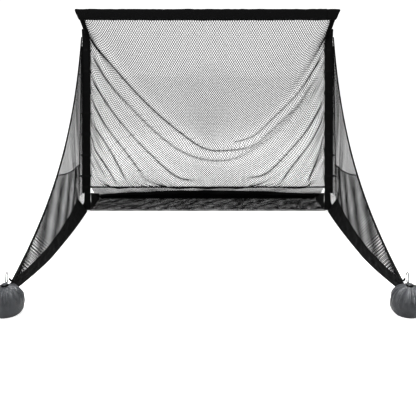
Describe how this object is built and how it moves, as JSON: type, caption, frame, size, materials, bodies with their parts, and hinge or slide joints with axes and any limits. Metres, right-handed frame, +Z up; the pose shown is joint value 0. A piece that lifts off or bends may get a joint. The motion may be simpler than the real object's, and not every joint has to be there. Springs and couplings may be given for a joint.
{
  "type": "golf practice net",
  "caption": "Free-standing golf hitting net: leaning tube frame, padded header and posts, loose catching net, side nets tied down with sandbags.",
  "frame": {"origin": "on the floor, under the middle of the object's outer box", "axes": "+Z up, +X to the right as the golfer faces the net, +Y from the golfer towards the net"},
  "size_m": [3.2578, 3.2951, 2.341],
  "materials": {
    "powder_tube": "black powder coat, fine satin texture",
    "steel": "zinc plated spring steel",
    "black_fabric": "black woven polyester with stitched hems",
    "net": "black knotted nylon mesh, 25 mm bar",
    "foam": "closed-cell foam",
    "rope": "braided black cord",
    "bag_fabric": "charcoal woven polyester, gathered",
    "sand": "dry sand",
    "pad_rubber": "moulded matt rubber"
  },
  "bodies": {
    "frame": {"foot_elbow_left": "powder_tube", "base_tube_left": "powder_tube", "rear_elbow_left": "powder_tube", "post_lower_left": "powder_tube", "post_upper_left": "powder_tube", "top_arm_left": "powder_tube", "foot_elbow_right": "powder_tube", "base_tube_right": "powder_tube", "rear_elbow_right": "powder_tube", "post_lower_right": "powder_tube", "post_upper_right": "powder_tube", "top_arm_right": "powder_tube", "top_bar_left": "powder_tube", "top_bar_right": "powder_tube", "rear_bar_left": "powder_tube", "rear_bar_right": "powder_tube", "leaf_springs": "steel", "floor_pads": "pad_rubber", "post_foam_left": "foam", "post_sleeve_left": "black_fabric", "corner_boot_left": "black_fabric", "post_foam_right": "foam", "post_sleeve_right": "black_fabric", "corner_boot_right": "black_fabric", "top_foam": "foam", "header_sleeve": "black_fabric", "rear_pocket": "black_fabric", "foot_covers": "black_fabric", "main_net": "net", "lower_net": "net", "floor_apron": "net", "front_hem": "black_fabric", "bottom_rope": "rope", "rope_hooks": "black_fabric", "post_ties": "black_fabric"},
    "button_foot_left": {"snap_button_foot_left": "steel"},
    "button_post_left": {"snap_button_post_left": "steel"},
    "button_foot_right": {"snap_button_foot_right": "steel"},
    "button_post_right": {"snap_button_post_right": "steel"},
    "button_top_bar": {"snap_button_top_bar": "steel"},
    "button_rear_bar": {"snap_button_rear_bar": "steel"},
    "side_left": {"side_net_left": "net", "side_band_left": "black_fabric", "edge_rope_left": "rope", "sandbag_left": "bag_fabric", "sand_fill_left": "sand", "bag_tie_left": "rope", "carabiner_left": "steel", "gate_pin_left": "steel"},
    "gate_left": {"carabiner_gate_left": "steel"},
    "side_right": {"side_net_right": "net", "side_band_right": "black_fabric", "edge_rope_right": "rope", "sandbag_right": "bag_fabric", "sand_fill_right": "sand", "bag_tie_right": "rope", "carabiner_right": "steel", "gate_pin_right": "steel"},
    "gate_right": {"carabiner_gate_right": "steel"}
  },
  "joints": [
    {"name": "button_foot_left_press", "type": "slide", "parent": "frame", "child": "button_foot_left", "axis": [0, 0.9548, -0.2974], "range_m": [-0.005, 0], "stiffness_N_per_m": 700, "springref_m": 0.003, "deforming": ["leaf_springs"]},
    {"name": "button_post_left_press", "type": "slide", "parent": "frame", "child": "button_post_left", "axis": [0, 0.9548, -0.2974], "range_m": [-0.005, 0], "stiffness_N_per_m": 700, "springref_m": 0.003, "deforming": ["leaf_springs"]},
    {"name": "button_foot_right_press", "type": "slide", "parent": "frame", "child": "button_foot_right", "axis": [0, 0.9548, -0.2974], "range_m": [-0.005, 0], "stiffness_N_per_m": 700, "springref_m": 0.003, "deforming": ["leaf_springs"]},
    {"name": "button_post_right_press", "type": "slide", "parent": "frame", "child": "button_post_right", "axis": [0, 0.9548, -0.2974], "range_m": [-0.005, 0], "stiffness_N_per_m": 700, "springref_m": 0.003, "deforming": ["leaf_springs"]},
    {"name": "button_top_bar_press", "type": "slide", "parent": "frame", "child": "button_top_bar", "axis": [0, 1, 0], "range_m": [-0.005, 0], "stiffness_N_per_m": 700, "springref_m": 0.003, "deforming": ["leaf_springs"]},
    {"name": "button_rear_bar_press", "type": "slide", "parent": "frame", "child": "button_rear_bar", "axis": [0, 1, 0], "range_m": [-0.005, 0], "stiffness_N_per_m": 700, "springref_m": 0.003, "deforming": ["leaf_springs"]},
    {"name": "side_left_swing", "type": "hinge", "parent": "frame", "child": "side_left", "pos_m": [-1.475, 0.9983, 0], "axis": [0, 0, 1], "range_deg": [0, 25]},
    {"name": "gate_left_open", "type": "hinge", "parent": "side_left", "child": "gate_left", "pos_m": [-1.5, -1.44661, 0.22833], "axis": [1, 0, 0], "range_deg": [0, 22], "stiffness_Nm_per_rad": 0.04, "springref_deg": -22.92},
    {"name": "side_right_swing", "type": "hinge", "parent": "frame", "child": "side_right", "pos_m": [1.475, 0.9983, 0], "axis": [0, 0, -1], "range_deg": [0, 25]},
    {"name": "gate_right_open", "type": "hinge", "parent": "side_right", "child": "gate_right", "pos_m": [1.5, -1.44661, 0.22833], "axis": [1, 0, 0], "range_deg": [0, 22], "stiffness_Nm_per_rad": 0.04, "springref_deg": -22.92}
  ]
}
